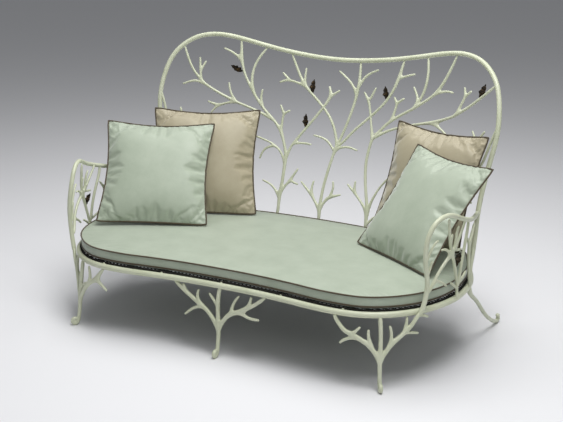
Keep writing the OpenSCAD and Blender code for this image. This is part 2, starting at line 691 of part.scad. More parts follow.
pillow_cells = 8;
function outline_share(a, b) = a * (1 - 2 * pillow_draw / pillow_w * (1 - b ^ 2));
function pillow_xz(a, b) = [outline_share(a, b), 1 + outline_share(b, a)] * pillow_w / 2;
function swell(a, b) = pillow_t / 2 * ((1 - a ^ 4) * (1 - b ^ 4)) ^ 0.75 * (1 - 0.16 * (a ^ 2 + b ^ 2));
module pillow_body() {
  n = pillow_cells;
  function spread(i) = let (t = 2 * i / n - 1) 1.25 * t - 0.25 * t ^ 3;
  points = concat(
    [for (i = [0 : n], j = [0 : n]) let (a = spread(i), b = spread(j), p = pillow_xz(a, b))
      [p[0], -swell(a, b), p[1]]],
    [for (i = [1 : n - 1], j = [1 : n - 1]) let (a = spread(i), b = spread(j), p = pillow_xz(a, b))
      [p[0], swell(a, b), p[1]]]
  );
  function front(i, j) = i * (n + 1) + j;
  function rear(i, j) =
    i == 0 || j == 0 || i == n || j == n ? front(i, j) : (n + 1) ^ 2 + (i - 1) * (n - 1) + j - 1;
  // Each cell is cut from its corner nearest the pillow's own corner, so no cell closes on itself
  function half(i) = i < n / 2;
  polyhedron(points, [for (i = [0 : n - 1], j = [0 : n - 1])
    let (a = front(i, j), b = front(i, j + 1), c = front(i + 1, j + 1), d = front(i + 1, j),
         e = rear(i, j), f = rear(i, j + 1), g = rear(i + 1, j + 1), h = rear(i + 1, j))
    each (half(i) == half(j)
      ? [[a, b, c], [a, c, d], [e, g, f], [e, h, g]]
      : [[a, b, d], [b, c, d], [e, h, f], [f, h, g]])]);
}

module pillow_piping() {
  n = 6;
  side = [for (i = [0 : n - 1]) 2 * i / n - 1];
  path = concat(
    [for (t = side) let (p = pillow_xz(t, -1)) [p[0], 0, p[1]]],
    [for (t = side) let (p = pillow_xz(1, t)) [p[0], 0, p[1]]],
    [for (t = side) let (p = pillow_xz(-t, 1)) [p[0], 0, p[1]]],
    [for (t = side) let (p = pillow_xz(-1, -t)) [p[0], 0, p[1]]]
  );
  tube(path, [for (p = path) piping_d / 2], piping_sides, true);
}

// A pillow's place: the side it stands on, how far in from that end of the ring and in front of the bowed
// back the middle of its lower side is, its turn, lean and tip, and the share of the crown's rise lost there
tan_left_at = [-1, 483, 241, 25, tan_lean, 0.4, 0.22];
green_left_at = [-1, 364, 530, 25, green_lean, 0.8, 0.03];
tan_right_at = [1, 401, 107, -19, tan_lean - 7, -0.6, 0.68];
green_right_at = [1, 378, 443, -31, green_lean, 0.7, 0.38];
module place(at) {
  x = at[0] * (seat_w / 2 - at[1]);
  tip = at[5];
  z = crown_top - at[6] * crown + soft_gap + piping_d / 2 + pillow_w / 2 * abs(sin(tip));
  translate([x, shift_y - bow(x) - at[2], z]) rotate([0, 0, at[3]]) rotate([-at[4], 0, 0])
    rotate([0, tip, 0]) children();
}

seat_ring();
back_hoop();
tree_outer_left();
tree_left();
tree_centre();
tree_right();
tree_outer_right();
arm_hoop_left();
arm_hoop_right();
arm_twigs_left();
arm_twigs_right();
arm_twigs_rear_left();
arm_twigs_rear_right();
leg_front_left();
leg_front_centre();
leg_front_right();
leg_rear_left();
leg_rear_right();
back_leaf(0);  // leaf_1
back_leaf(1);  // leaf_2
back_leaf(2);  // leaf_3
back_leaf(3);  // leaf_4
back_leaf(4);  // leaf_5
mirror([1, 0, 0]) arm_leaf(arm_sway);  // leaf_arm_left
arm_leaf(0);  // leaf_arm_right
deck_rod_loop();
deck_mesh();
cross_bar(-2);  // cross_bar_1
cross_bar(-1);  // cross_bar_2
cross_bar(0);  // cross_bar_3
cross_bar(1);  // cross_bar_4
cross_bar(2);  // cross_bar_5
seat_cushion();
seat_piping(piping_high);  // seat_piping_top
seat_piping(piping_low);  // seat_piping_bottom
place(tan_left_at) color(tan_cloth) pillow_body();  // pillow_tan_left
place(tan_left_at) color(brown) pillow_piping();  // piping_tan_left
place(green_left_at) color(sage) pillow_body();  // pillow_green_left
place(green_left_at) color(brown) pillow_piping();  // piping_green_left
place(tan_right_at) color(tan_cloth) pillow_body();  // pillow_tan_right
place(tan_right_at) color(brown) pillow_piping();  // piping_tan_right
place(green_right_at) color(sage) pillow_body();  // pillow_green_right
place(green_right_at) color(brown) pillow_piping();  // piping_green_right
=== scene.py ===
import math
import random

import bpy
from mathutils import Matrix, Vector, noise


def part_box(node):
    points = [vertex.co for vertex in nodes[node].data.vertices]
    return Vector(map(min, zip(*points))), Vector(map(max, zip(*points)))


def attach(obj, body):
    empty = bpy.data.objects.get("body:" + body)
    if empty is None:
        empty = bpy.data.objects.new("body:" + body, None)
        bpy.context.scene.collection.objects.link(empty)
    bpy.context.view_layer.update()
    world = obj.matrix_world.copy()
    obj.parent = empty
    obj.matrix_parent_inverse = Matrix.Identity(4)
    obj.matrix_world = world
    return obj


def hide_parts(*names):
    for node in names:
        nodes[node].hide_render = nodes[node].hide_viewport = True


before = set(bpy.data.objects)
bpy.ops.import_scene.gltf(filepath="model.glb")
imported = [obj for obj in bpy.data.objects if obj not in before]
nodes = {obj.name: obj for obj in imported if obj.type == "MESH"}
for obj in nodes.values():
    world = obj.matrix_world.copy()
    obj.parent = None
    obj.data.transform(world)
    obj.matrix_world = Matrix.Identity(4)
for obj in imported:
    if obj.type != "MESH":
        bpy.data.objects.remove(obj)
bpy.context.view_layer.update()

scene = bpy.context.scene
mm = 0.001


# small helpers

def deselect():
    bpy.ops.object.select_all(action="DESELECT")


def pick(piece):
    deselect()
    piece.select_set(True)
    bpy.context.view_layer.objects.active = piece


def useModifier(piece, kind, **settings):
    pick(piece)
    modifier = piece.modifiers.new(kind, kind)
    for name, value in settings.items():
        setattr(modifier, name, value)
    bpy.ops.object.modifier_apply(modifier=modifier.name)


def smoothShade(piece, angle=None):
    pick(piece)
    if angle is None:
        bpy.ops.object.shade_smooth()
    else:
        bpy.ops.object.shade_smooth_by_angle(angle=math.radians(angle))


def hand(piece, material, slot, body, *replaced):
    piece.data.materials.clear()
    piece.data.materials.append(material)
    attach(piece, body)
    if replaced:
        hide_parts(*replaced)


def meshPiece(name, points, faces):
    mesh = bpy.data.meshes.new(name)
    mesh.from_pydata([tuple(p) for p in points], [], faces)
    mesh.update()
    piece = bpy.data.objects.new(name, mesh)
    scene.collection.objects.link(piece)
    return piece


def tone(red, green, blue):
    # a colour as it is seen, from 0 to 255, in the linear values that a shader takes
    def linear(value):
        value /= 255
        return value / 12.92 if value <= 0.04045 else ((value + 0.055) / 1.055) ** 2.4
    return (linear(red), linear(green), linear(blue), 1)


# materials

paint = {
    "light": (202, 206, 181),
    "dark": (190, 195, 167),
    "mottleScale": 9,
    "brushScale": 320,
    "roughness": 0.4,
    "bump": 0.06,
    "coat": 0.25,
    "coatRoughness": 0.3,
}
cloth = {
    "threads": 900,
    "threadDrift": 1.5,
    "crumple": 9,
    "patchShare": 0.75,
    "roughness": 0.5,
    "sheen": 0.55,
    "sheenRoughness": 0.4,
    "bump": 0.10,
    "crumpleBump": 0.25,
}
sage = {"light": (171, 181, 163), "dark": (155, 166, 147)}
tan = {"light": (171, 163, 138), "dark": (156, 147, 122)}
cordLook = {
    "light": (88, 75, 50),
    "dark": (48, 40, 27),
    "twistScale": 170,
    "twistDrift": 0.6,
    "roughness": 0.7,
    "sheen": 0.2,
    "bump": 0.5,
}
wireLook = {
    "light": (40, 40, 36),
    "dark": (20, 20, 18),
    "grainScale": 400,
    "roughness": 0.8,
    "specular": 0.15,
    "bump": 0.3,
}
bronze = {
    "patina": (34, 29, 23),
    "brown": (70, 55, 33),
    "worn": (150, 118, 62),
    "wearScale": 60,
    "metallic": 0.7,
    "bump": 0.4,
}


def newMaterial(name):
    material = bpy.data.materials.new(name)
    material.use_nodes = True
    tree = material.node_tree
    shader = tree.nodes["Principled BSDF"]
    where = tree.nodes.new("ShaderNodeTexCoord").outputs["Object"]
    return material, tree, shader, where


def addNoise(tree, where, scale, detail=3, rough=0.5):
    node = tree.nodes.new("ShaderNodeTexNoise")
    node.inputs["Scale"].default_value = scale
    node.inputs["Detail"].default_value = detail
    node.inputs["Roughness"].default_value = rough
    tree.links.new(where, node.inputs["Vector"])
    return node.outputs["Fac"]


def addRamp(tree, factor, *stops):
    node = tree.nodes.new("ShaderNodeValToRGB")
    ramp = node.color_ramp
    while len(ramp.elements) < len(stops):
        ramp.elements.new(0.5)
    for element, (place, colour) in zip(ramp.elements, stops):
        element.position = place
        element.color = colour
    tree.links.new(factor, node.inputs["Fac"])
    return node.outputs["Color"]


def addBump(tree, shader, height, strength, distance, before=None):
    node = tree.nodes.new("ShaderNodeBump")
    node.inputs["Strength"].default_value = strength
    node.inputs["Distance"].default_value = distance
    tree.links.new(height, node.inputs["Height"])
    if before:
        tree.links.new(before, node.inputs["Normal"])
    tree.links.new(node.outputs["Normal"], shader.inputs["Normal"])
    return node.outputs["Normal"]


def addMath(tree, kind, one, two):
    node = tree.nodes.new("ShaderNodeMath")
    node.operation = kind
    for socket, value in zip(node.inputs, (one, two)):
        if isinstance(value, (int, float)):
            socket.default_value = value
        else:
            tree.links.new(value, socket)
    return node.outputs["Value"]


def grey(value):
    return (value, value, value, 1)


def paintedIron():
    # cream-green paint, brushed on, a little darker in soft patches
    material, tree, shader, where = newMaterial("creamPaint")
    patches = addNoise(tree, where, paint["mottleScale"], 4)
    colour = addRamp(tree, patches, (0.3, tone(*paint["dark"])), (0.62, tone(*paint["light"])))
    tree.links.new(colour, shader.inputs["Base Color"])
    rough = paint["roughness"]
    gloss = addRamp(tree, patches, (0.2, grey(rough + 0.12)), (0.8, grey(rough - 0.06)))
    tree.links.new(gloss, shader.inputs["Roughness"])
    strokes = addNoise(tree, where, paint["brushScale"], 2)
    addBump(tree, shader, strokes, paint["bump"], 0.4 * mm)
    shader.inputs["Coat Weight"].default_value = paint["coat"]
    shader.inputs["Coat Roughness"].default_value = paint["coatRoughness"]
    return material


def wovenCloth(name, colours):
    # close plain weave: two sets of threads crossed, over soft worn patches
    material, tree, shader, where = newMaterial(name)
    patches = addNoise(tree, where, cloth["crumple"], 4, 0.6)
    fine = addNoise(tree, where, cloth["threads"] / 3, 2)
    broad = addMath(tree, "MULTIPLY", patches, cloth["patchShare"])
    close = addMath(tree, "MULTIPLY", fine, 1 - cloth["patchShare"])
    mixed = addMath(tree, "ADD", broad, close)
    colour = addRamp(tree, mixed, (0.3, tone(*colours["dark"])), (0.7, tone(*colours["light"])))
    tree.links.new(colour, shader.inputs["Base Color"])
    threads = []
    for direction in ("X", "Z"):
        wave = tree.nodes.new("ShaderNodeTexWave")
        wave.wave_type = "BANDS"
        wave.bands_direction = direction
        wave.inputs["Scale"].default_value = cloth["threads"]
        wave.inputs["Distortion"].default_value = cloth["threadDrift"]
        tree.links.new(where, wave.inputs["Vector"])
        threads.append(wave.outputs["Fac"])
    weave = addMath(tree, "MULTIPLY", threads[0], threads[1])
    first = addBump(tree, shader, weave, cloth["bump"], 0.3 * mm)
    addBump(tree, shader, patches, cloth["crumpleBump"], 3 * mm, first)
    shader.inputs["Roughness"].default_value = cloth["roughness"]
    shader.inputs["Sheen Weight"].default_value = cloth["sheen"]
    shader.inputs["Sheen Roughness"].default_value = cloth["sheenRoughness"]
    return material


def cordCloth():
    # dark brown cord, wound on the slant
    material, tree, shader, where = newMaterial("brownCord")
    wave = tree.nodes.new("ShaderNodeTexWave")
    wave.bands_direction = "DIAGONAL"
    wave.inputs["Scale"].default_value = cordLook["twistScale"]
    wave.inputs["Distortion"].default_value = cordLook["twistDrift"]
    tree.links.new(where, wave.inputs["Vector"])
    twist = wave.outputs["Fac"]
    colour = addRamp(tree, twist, (0.1, tone(*cordLook["dark"])), (0.9, tone(*cordLook["light"])))
    tree.links.new(colour, shader.inputs["Base Color"])
    addBump(tree, shader, twist, cordLook["bump"], 0.6 * mm)
    shader.inputs["Roughness"].default_value = cordLook["roughness"]
    shader.inputs["Sheen Weight"].default_value = cordLook["sheen"]
    return material


def blackWire():
    # dull black enamel
    material, tree, shader, where = newMaterial("blackWire")
    grain = addNoise(tree, where, wireLook["grainScale"], 3)
    colour = addRamp(tree, grain, (0.3, tone(*wireLook["dark"])), (0.7, tone(*wireLook["light"])))
    tree.links.new(colour, shader.inputs["Base Color"])
    addBump(tree, shader, grain, wireLook["bump"], 0.4 * mm)
    shader.inputs["Roughness"].default_value = wireLook["roughness"]
    shader.inputs["Specular IOR Level"].default_value = wireLook["specular"]
    return material


def bronzeLeaf():
    # near-black patina, with worn gold where the noise lets it through
    material, tree, shader, where = newMaterial("bronzeLeaf")
    worn = addNoise(tree, where, bronze["wearScale"], 5, 0.7)
    stops = [
        (0.45, tone(*bronze["patina"])),
        (0.62, tone(*bronze["brown"])),
        (0.8, tone(*bronze["worn"])),
    ]
    tree.links.new(addRamp(tree, worn, *stops), shader.inputs["Base Color"])
    gloss = addRamp(tree, worn, (0.4, grey(0.6)), (0.8, grey(0.3)))
    tree.links.new(gloss, shader.inputs["Roughness"])
    shader.inputs["Metallic"].default_value = bronze["metallic"]
    addBump(tree, shader, worn, bronze["bump"], 0.6 * mm)
    return material


creamPaint = paintedIron()
sageCloth = wovenCloth("sageCloth", sage)
tanCloth = wovenCloth("tanCloth", tan)
brownCord = cordCloth()
wireBlack = blackWire()
leafBronze = bronzeLeaf()
print("materials made")


# painted rods: each is shaped from its node, rounded, and blended where rods meet

rods = {
    "merge": 0.02 * mm,
    "flatAngle": 40,
    "quadAngle": 60,
    "rounding": 2,
    "voxel": 2.8 * mm,
    "blend": 5,
    "regain": 1.2 * mm,
    "plainRegain": 0.5 * mm,
}


def roundCopy(name, node, levels):
    piece = bpy.data.objects.new(name, nodes[node].data.copy())
    scene.collection.objects.link(piece)
    pick(piece)
    bpy.ops.object.mode_set(mode="EDIT")
    bpy.ops.mesh.select_all(action="SELECT")
    bpy.ops.mesh.remove_doubles(threshold=rods["merge"])
    bpy.ops.mesh.customdata_custom_splitnormals_clear()
    flat, square = math.radians(rods["flatAngle"]), math.radians(rods["quadAngle"])
    bpy.ops.mesh.tris_convert_to_quads(face_threshold=flat, shape_threshold=square)
    bpy.ops.object.mode_set(mode="OBJECT")
    useModifier(piece, "SUBSURF", levels=levels, render_levels=levels)
    return piece


def weldedRods(name, node):
    piece = roundCopy(name, node, rods["rounding"])
    useModifier(piece, "REMESH", mode="VOXEL", voxel_size=rods["voxel"])
    useModifier(piece, "SMOOTH", factor=0.5, iterations=rods["blend"])
    useModifier(piece, "DISPLACE", strength=rods["regain"], mid_level=0)
    smoothShade(piece)
    hand(piece, creamPaint, "cream_paint", "frame", node)


def plainRod(name, node, material=creamPaint, slot="cream_paint"):
    piece = roundCopy(name, node, rods["rounding"])
    useModifier(piece, "DISPLACE", strength=rods["plainRegain"], mid_level=0)
    smoothShade(piece)
    hand(piece, material, slot, "frame", node)


for node in ("tree_outer_left", "tree_left", "tree_centre", "tree_right", "tree_outer_right",
             "arm_twigs_left", "arm_twigs_right", "arm_twigs_rear_left", "arm_twigs_rear_right",
             "leg_front_left", "leg_front_centre", "leg_front_right", "leg_rear_left", "leg_rear_right"):
    weldedRods(node + "_rods", node)
for node in ("seat_ring", "back_hoop", "arm_hoop_left", "arm_hoop_right"):
    plainRod(node + "_rod", node)
plainRod("deck_edge_rod", "deck_rod_loop", wireBlack, "deck_black")
for number in range(1, 6):
    bar = nodes[f"cross_bar_{number}"]
    bar.data.materials.clear()
    bar.data.materials.append(creamPaint)
    smoothShade(bar, 40)
print("rods rounded and blended")


# leaves: the folded blade, thinned at its edges and veined

leafShape = {
    "levels": 3,
    "veins": 7,
    "veinDepth": 0.8 * mm,
    "lobes": 3,
    "lobeDepth": 0.16,
    "curl": 5 * mm,
}


def leaf(node):
    # the blade is lobed along its rim, ribbed by its side veins and curled forward at its tip
    piece = roundCopy(node + "_blade", node, leafShape["levels"])
    points = [v.co.copy() for v in piece.data.vertices]
    foot = min(points, key=lambda p: p.z)
    tip = max(points, key=lambda p: (p - foot).length)
    axis = tip - foot
    for vertex in piece.data.vertices:
        along = (vertex.co - foot).dot(axis) / axis.length_squared
        off = vertex.co - foot - axis * along
        wave = math.sin(along * leafShape["lobes"] * 2 * math.pi)
        vertex.co += off * leafShape["lobeDepth"] * wave
        vertex.co.y += leafShape["veinDepth"] * math.sin(along * leafShape["veins"] * 2 * math.pi)
        vertex.co.y -= leafShape["curl"] * max(along, 0) ** 3
    smoothShade(piece)
    hand(piece, leafBronze, "leaf_bronze", "frame", node)


for node in ("leaf_1", "leaf_2", "leaf_3", "leaf_4", "leaf_5", "leaf_arm_left", "leaf_arm_right"):
    leaf(node)
print("leaves made")


# seat outline, as in the frame: half of it in thousandths of the half width and of the depth

seat = {
    "width": 2074 * mm,
    "depth": 1015 * mm,
    "backBow": 192 * mm,
    "bowWidth": 1996 * mm,
    "bowShare": 0.77,
    "backY": 423.739 * mm,
    "front": [(0, 0), (196, -5), (368, -21), (539, -42), (733, -21), (913, 132),
              (998, 365), (1000, 500), (985, 620), (950, 723), (892, 840)],
    "backAcross": [675, 386],
    "steps": 12,
}


def bow(x):
    # how far the back comes forward at a distance x from the middle
    share = 2 * x / seat["bowWidth"]
    return seat["backBow"] * (seat["bowShare"] * share ** 2 + (1 - seat["bowShare"]) * share ** 4)


def smoothLoop(points, steps):
    # closed curve through points, as the frame's own rods are drawn
    def slope(a, b, c):
        one, two = (b - a).length, (c - b).length
        return ((c - b) * one / two + (b - a) * two / one) / (one + two)
    count = len(points)
    made = []
    for i in range(count):
        a, b, c, d = (points[(i + k) % count] for k in (-1, 0, 1, 2))
        reach = (c - b).length
        m, n = slope(a, b, c) * reach, slope(b, c, d) * reach
        for k in range(steps):
            t = k / steps
            made.append(b * (2 * t ** 3 - 3 * t ** 2 + 1) + m * (t ** 3 - 2 * t ** 2 + t)
                        + c * (3 * t ** 2 - 2 * t ** 3) + n * (t ** 3 - t ** 2))
    return made


def seatLine():
    half = [Vector((x * seat["width"] / 2000, (y / 1000 - 1) * seat["depth"])) for x, y in seat["front"]]
    for x in seat["backAcross"]:
        across = x * seat["width"] / 2000
        half.append(Vector((across, -bow(across))))
    half.append(Vector((0, 0)))
    whole = half + [Vector((-p.x, p.y)) for p in reversed(half[1:-1])]
    fine = smoothLoop(whole, seat["steps"])
    return [Vector((p.x, p.y + seat["backY"])) for p in fine]


def evenLoop(line, count):
    # the same closed line, cut into equal lengths from the middle of the front
    size = len(line)
    steps = [(line[(i + 1) % size] - line[i]).length for i in range(size)]
    total = sum(steps)
    made, i, passed = [], 0, 0.0
    for k in range(count):
        want = total * k / count
        while passed + steps[i] < want:
            passed += steps[i]
            i += 1
        made.append(line[i].lerp(line[(i + 1) % size], (want - passed) / steps[i]))
    return made


def insetLoop(line, inset):
    # the same closed line, moved in square to itself
    size = len(line)
    made = []
    for i, p in enumerate(line):
        run = (line[(i + 1) % size] - line[i - 1]).normalized()
        made.append(p + Vector((-run.y, run.x)) * inset)
    return made


# deck: a fine wire mesh cut to the seat's outline

deck = {
    "around": 150,
    "inset": 13 * mm,
    "pitch": 21 * mm,
    "wire": 6.5 * mm,
}


def wireDeck():
    low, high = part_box("deck_mesh")
    edge = insetLoop(evenLoop(seatLine(), deck["around"]), deck["inset"])
    level = (low.z + high.z) / 2
    piece = meshPiece("deck_wires", [(p.x, p.y, level) for p in edge], [list(range(len(edge)))])
    pick(piece)
    bpy.ops.object.mode_set(mode="EDIT")
    for axis, first, last in ((0, low.x, high.x), (1, low.y, high.y)):
        count = int((last - first) / deck["pitch"])
        for i in range(1, count + 1):
            place, normal = [0, 0, level], [0, 0, 0]
            place[axis] = first + i * deck["pitch"]
            normal[axis] = 1
            bpy.ops.mesh.select_all(action="SELECT")
            bpy.ops.mesh.bisect(plane_co=place, plane_no=normal)
    bpy.ops.object.mode_set(mode="OBJECT")
    useModifier(piece, "WIREFRAME", thickness=deck["wire"], use_boundary=True, use_even_offset=False)
    hand(piece, wireBlack, "deck_black", "frame", "deck_mesh")


wireDeck()
print("wire deck made")


# seat cushion: boxed, piped at both edges, its top crowned and softly uneven

cushion = {
    "around": 560,
    "inset": 20 * mm,
    # rows of the underside: how far in from the seam, and the height above the base
    "under": [(60 * mm, 0.2 * mm), (16 * mm, 0.4 * mm), (5 * mm, 2.5 * mm), (1 * mm, 7 * mm)],
    "strip": 12 * mm,
    "boxing": 46 * mm,
    # rows of the boxing: how far out from the seam, and the share of the boxing's height
    "boxingSwell": [(1.2 * mm, 0.25), (1.8 * mm, 0.5), (1.2 * mm, 0.75)],
    "crown": 18 * mm,
    # rows of the top: the share of the way to the middle, and the share of the crown
    "crownSteps": [(0.0, 0.0), (0.01, 0.065), (0.022, 0.14), (0.04, 0.23), (0.065, 0.33), (0.1, 0.45),
                   (0.14, 0.56), (0.18, 0.655), (0.23, 0.735), (0.28, 0.8), (0.34, 0.85), (0.42, 0.9),
                   (0.5, 0.94), (0.6, 0.97), (0.7, 0.985), (0.8, 0.995), (0.9, 0.998)],
    "uneven": 2.6 * mm,
    "unevenPitch": (4.2, 5.0),
    "pucker": 6 * mm,
    "puckerDrift": 0.03,
    "boxingFold": 1.3 * mm,
    "foldPitch": 0.55,
    "piping": 7 * mm,
    "cord": 8 * mm,
    "cordOut": 1.5 * mm,
}
# which rows of the cover take folds: the boxing between its pipings, and the top, with each row's share
cushionFolds = {
    "boxing": (5, 6, 7),
    "top": {9: 0.5, 10: 0.9, 11: 1.0, 12: 0.8, 13: 0.5, 14: 0.25},
}


def pipingTube(name, line, width):
    # a cord along a closed line of points
    curve = bpy.data.curves.new(name, "CURVE")
    curve.dimensions = "3D"
    curve.bevel_depth = width / 2
    curve.bevel_resolution = 3
    curve.use_fill_caps = False
    spline = curve.splines.new("POLY")
    spline.points.add(len(line) - 1)
    for point, place in zip(spline.points, line):
        point.co = (*place, 1)
    spline.use_cyclic_u = True
    piece = bpy.data.objects.new(name, curve)
    scene.collection.objects.link(piece)
    pick(piece)
    bpy.ops.object.convert(target="MESH")
    smoothShade(piece)
    return piece


def cushionRows(line, middle, base, pipingLow, pipingHigh):
    # the cover's loops of points with their heights: underside, lower piping, boxing, crown
    rows = []
    for inward, rise in cushion["under"]:
        rows.append((insetLoop(line, cushion["inset"] + inward), base + rise))
    seam = insetLoop(line, cushion["inset"])
    rows.append((seam, pipingLow))
    for outward, share in cushion["boxingSwell"]:
        level = pipingLow + share * cushion["boxing"]
        rows.append((insetLoop(line, cushion["inset"] - outward), level))
    for share, rise in cushion["crownSteps"]:
        rows.append(([p.lerp(middle, share) for p in seam], pipingHigh + rise * cushion["crown"]))
    return rows


def foldCushion(piece, line, pipingHigh):
    # the top is softly uneven and puckers along its seam, and the boxing gathers in small folds
    inner = insetLoop(line, cushion["inset"])
    pitchX, pitchY = cushion["unevenPitch"]
    for index, vertex in enumerate(piece.data.vertices):
        row, along = divmod(index, len(line))
        if vertex.co.z > pipingHigh + 0.5 * mm:
            hump = noise.noise(Vector((vertex.co.x * pitchX, vertex.co.y * pitchY, 3.1)))
            vertex.co.z -= cushion["uneven"] * (0.5 + 0.5 * hump)
        if row in cushionFolds["boxing"]:
            fold = noise.noise(Vector((along * cushion["foldPitch"], row * 0.3, 8.7)))
            outward = (line[along] - inner[along]).normalized()
            vertex.co += Vector((outward.x, outward.y, 0)) * cushion["boxingFold"] * fold
        if row in cushionFolds["top"]:
            fold = noise.noise(Vector((along * cushion["foldPitch"], 0, 2.9)))
            some = noise.noise(Vector((along * cushion["puckerDrift"], 0, 6.4)))
            deep = cushionFolds["top"][row] * (0.65 + 0.9 * some)
            vertex.co.z += cushion["pucker"] * deep * min(fold, 0.1)


def seatCushion():
    low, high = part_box("seat_cushion")
    line = evenLoop(seatLine(), cushion["around"])
    middle = Vector((0, seat["backY"] - seat["depth"] / 2))
    pipingLow = low.z + cushion["strip"]
    pipingHigh = pipingLow + cushion["boxing"]
    rows = cushionRows(line, middle, low.z, pipingLow, pipingHigh)
    size = len(line)
    points = [(p.x, p.y, z) for loop, z in rows for p in loop]
    points.append((middle.x, middle.y, low.z + cushion["under"][0][1]))
    points.append((middle.x, middle.y, high.z))
    faces = []
    for j in range(len(rows) - 1):
        for i in range(size):
            k = (i + 1) % size
            faces.append((j * size + i, j * size + k, (j + 1) * size + k, (j + 1) * size + i))
    last = (len(rows) - 1) * size
    for i in range(size):
        k = (i + 1) % size
        faces.append((len(points) - 2, k, i))
        faces.append((len(points) - 1, last + i, last + k))
    piece = meshPiece("seat_cushion_cover", points, faces)
    foldCushion(piece, line, pipingHigh)
    smoothShade(piece, 50)
    hand(piece, sageCloth, "sage_cloth", "seat_cushion", "seat_cushion")
    for name, level in (("seat_piping_top", pipingHigh), ("seat_piping_bottom", pipingLow)):
        path = insetLoop(line, cushion["inset"] - cushion["cordOut"])
        cord = pipingTube(name + "_cord", [(p.x, p.y, level) for p in path], cushion["cord"])
        hand(cord, brownCord, "brown_piping", "seat_cushion", name)


seatCushion()
print("seat cushion made")


# pillows: two squares of cloth sewn round a cord and blown up by a cloth simulation

pillow = {
    "width": 596 * mm,
    "thick": 140 * mm,
    "draw": 31 * mm,
    "lowerDraw": 7 * mm,
    "cornerDraw": 0.022,
    "cells": 72,
    "cord": 8.8 * mm,
    "swellPower": 0.75,
    "swellFall": 0.16,
    "creaseWidth": 0.72,
    "creaseShare": 0.7,
    "shoulder": 0.4,
    "shoulderPlace": 1.7,
    "shoulderWidth": 0.6,
    "deepest": 0.7,
    "seamPull": 0.45,
    "seamPullReach": 0.15,
    "start": 0.72,
    "ruffle": 0.6 * mm,
    "frames": 20,
    "proud": 3 * mm,
    "mostShift": 30 * mm,
    "lowest": 2 * mm,
    "pucker": 1.5 * mm,
    "puckerPitch": 13,
    "puckerReach": 0.16,
}
clothSettings = {
    "quality": 6,
    "mass": 0.25,
    "tension_stiffness": 18,
    "compression_stiffness": 12,
    "shear_stiffness": 6,
    "bending_stiffness": 0.35,
    "use_pressure": True,
    "uniform_pressure_force": 4.0,
    "shrink_min": -0.06,
    "vertex_group_mass": "seam",
    "pin_stiffness": 1.0,
}
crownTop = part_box("seat_cushion")[1].z
softGap = 0.4 * mm
# across, in front of the bowed back, turn, lean, tip and the share of the cushion's crown lost there
pillowPlaces = {
    "tan_left": (-554 * mm, 241 * mm, 25, 27, 0.4, 0.22),
    "green_left": (-673 * mm, 530 * mm, 25, 37, 0.8, 0.03),
    "tan_right": (636 * mm, 107 * mm, -19, 20, -0.6, 0.68),
    "green_right": (659 * mm, 443 * mm, -31, 37, 0.7, 0.38),
}
# creases in a pillow's front, in shares of its half width: from a place at the seam to a place within,
# then the crease's half width and depth in mm
creases = {
    "tan_left": [
        (0.98, 0.1, 0.5, -0.08, 20, 6), (0.98, 0.36, 0.6, 0.52, 16, 4),
        (0.98, -0.18, 0.62, -0.26, 15, 4), (0.97, -0.72, 0.6, -0.58, 15, 5),
        (0.97, 0.95, 0.62, 0.64, 18, 5), (0.95, -0.96, 0.66, -0.7, 17, 5),
        (-0.97, 0.95, -0.62, 0.66, 18, 5), (-0.1, 0.98, -0.14, 0.74, 13, 4),
        (0.3, 0.98, 0.33, 0.7, 13, 4), (-0.5, 0.98, -0.44, 0.78, 12, 3),
    ],
    "green_left": [
        (0.98, 0.06, 0.4, -0.12, 22, 7), (0.98, 0.24, 0.62, 0.2, 15, 4),
        (0.98, 0.72, 0.56, 0.54, 17, 4), (0.98, -0.22, 0.62, -0.32, 15, 4),
        (0.97, -0.68, 0.42, -0.82, 18, 5), (0.96, -0.97, 0.62, -0.62, 19, 6),
        (0.97, 0.96, 0.58, 0.62, 20, 6), (-0.97, 0.96, -0.56, 0.66, 19, 5),
        (-0.98, 0.1, -0.62, 0.0, 16, 4), (-0.98, -0.28, -0.62, -0.38, 16, 4),
        (-0.97, -0.95, -0.6, -0.66, 18, 5), (0.1, 0.98, 0.12, 0.74, 13, 4),
        (-0.3, 0.98, -0.26, 0.78, 12, 3), (0.5, 0.98, 0.44, 0.76, 12, 3),
        (-0.2, -0.98, -0.22, -0.78, 13, 3), (0.25, -0.98, 0.2, -0.8, 12, 3),
    ],
    "tan_right": [
        (0.13, 0.98, 0.02, 0.62, 18, 7), (-0.6, 0.98, -0.58, 0.7, 14, 4),
        (-0.2, 0.98, -0.24, 0.72, 13, 4), (0.55, 0.98, 0.44, 0.66, 15, 5),
        (0.97, 0.96, 0.6, 0.64, 19, 6), (-0.97, 0.96, -0.6, 0.64, 18, 5),
        (-0.98, 0.3, -0.7, 0.24, 14, 4), (-0.98, -0.2, -0.68, -0.26, 14, 4),
    ],
    "green_right": [
        (-0.8, 0.98, -0.7, 0.6, 16, 5), (-0.42, 0.98, -0.4, 0.62, 15, 5),
        (-0.08, 0.98, -0.04, 0.64, 15, 5), (0.3, 0.98, 0.26, 0.66, 15, 5),
        (0.62, 0.98, 0.5, 0.66, 15, 4), (0.97, 0.96, 0.52, 0.6, 20, 6),
        (0.98, 0.5, 0.66, 0.42, 16, 4), (0.98, 0.1, 0.66, 0.06, 15, 4),
        (-0.97, 0.96, -0.62, 0.7, 17, 4), (0.96, -0.96, 0.56, -0.68, 18, 7),
        (0.98, -0.7, 0.66, -0.62, 15, 5), (0.72, -0.98, 0.6, -0.72, 15, 5),
        (-0.97, -0.95, -0.62, -0.68, 17, 5), (-0.3, -0.98, -0.28, -0.78, 13, 3),
        (0.2, -0.98, 0.16, -0.78, 13, 3),
    ],
}


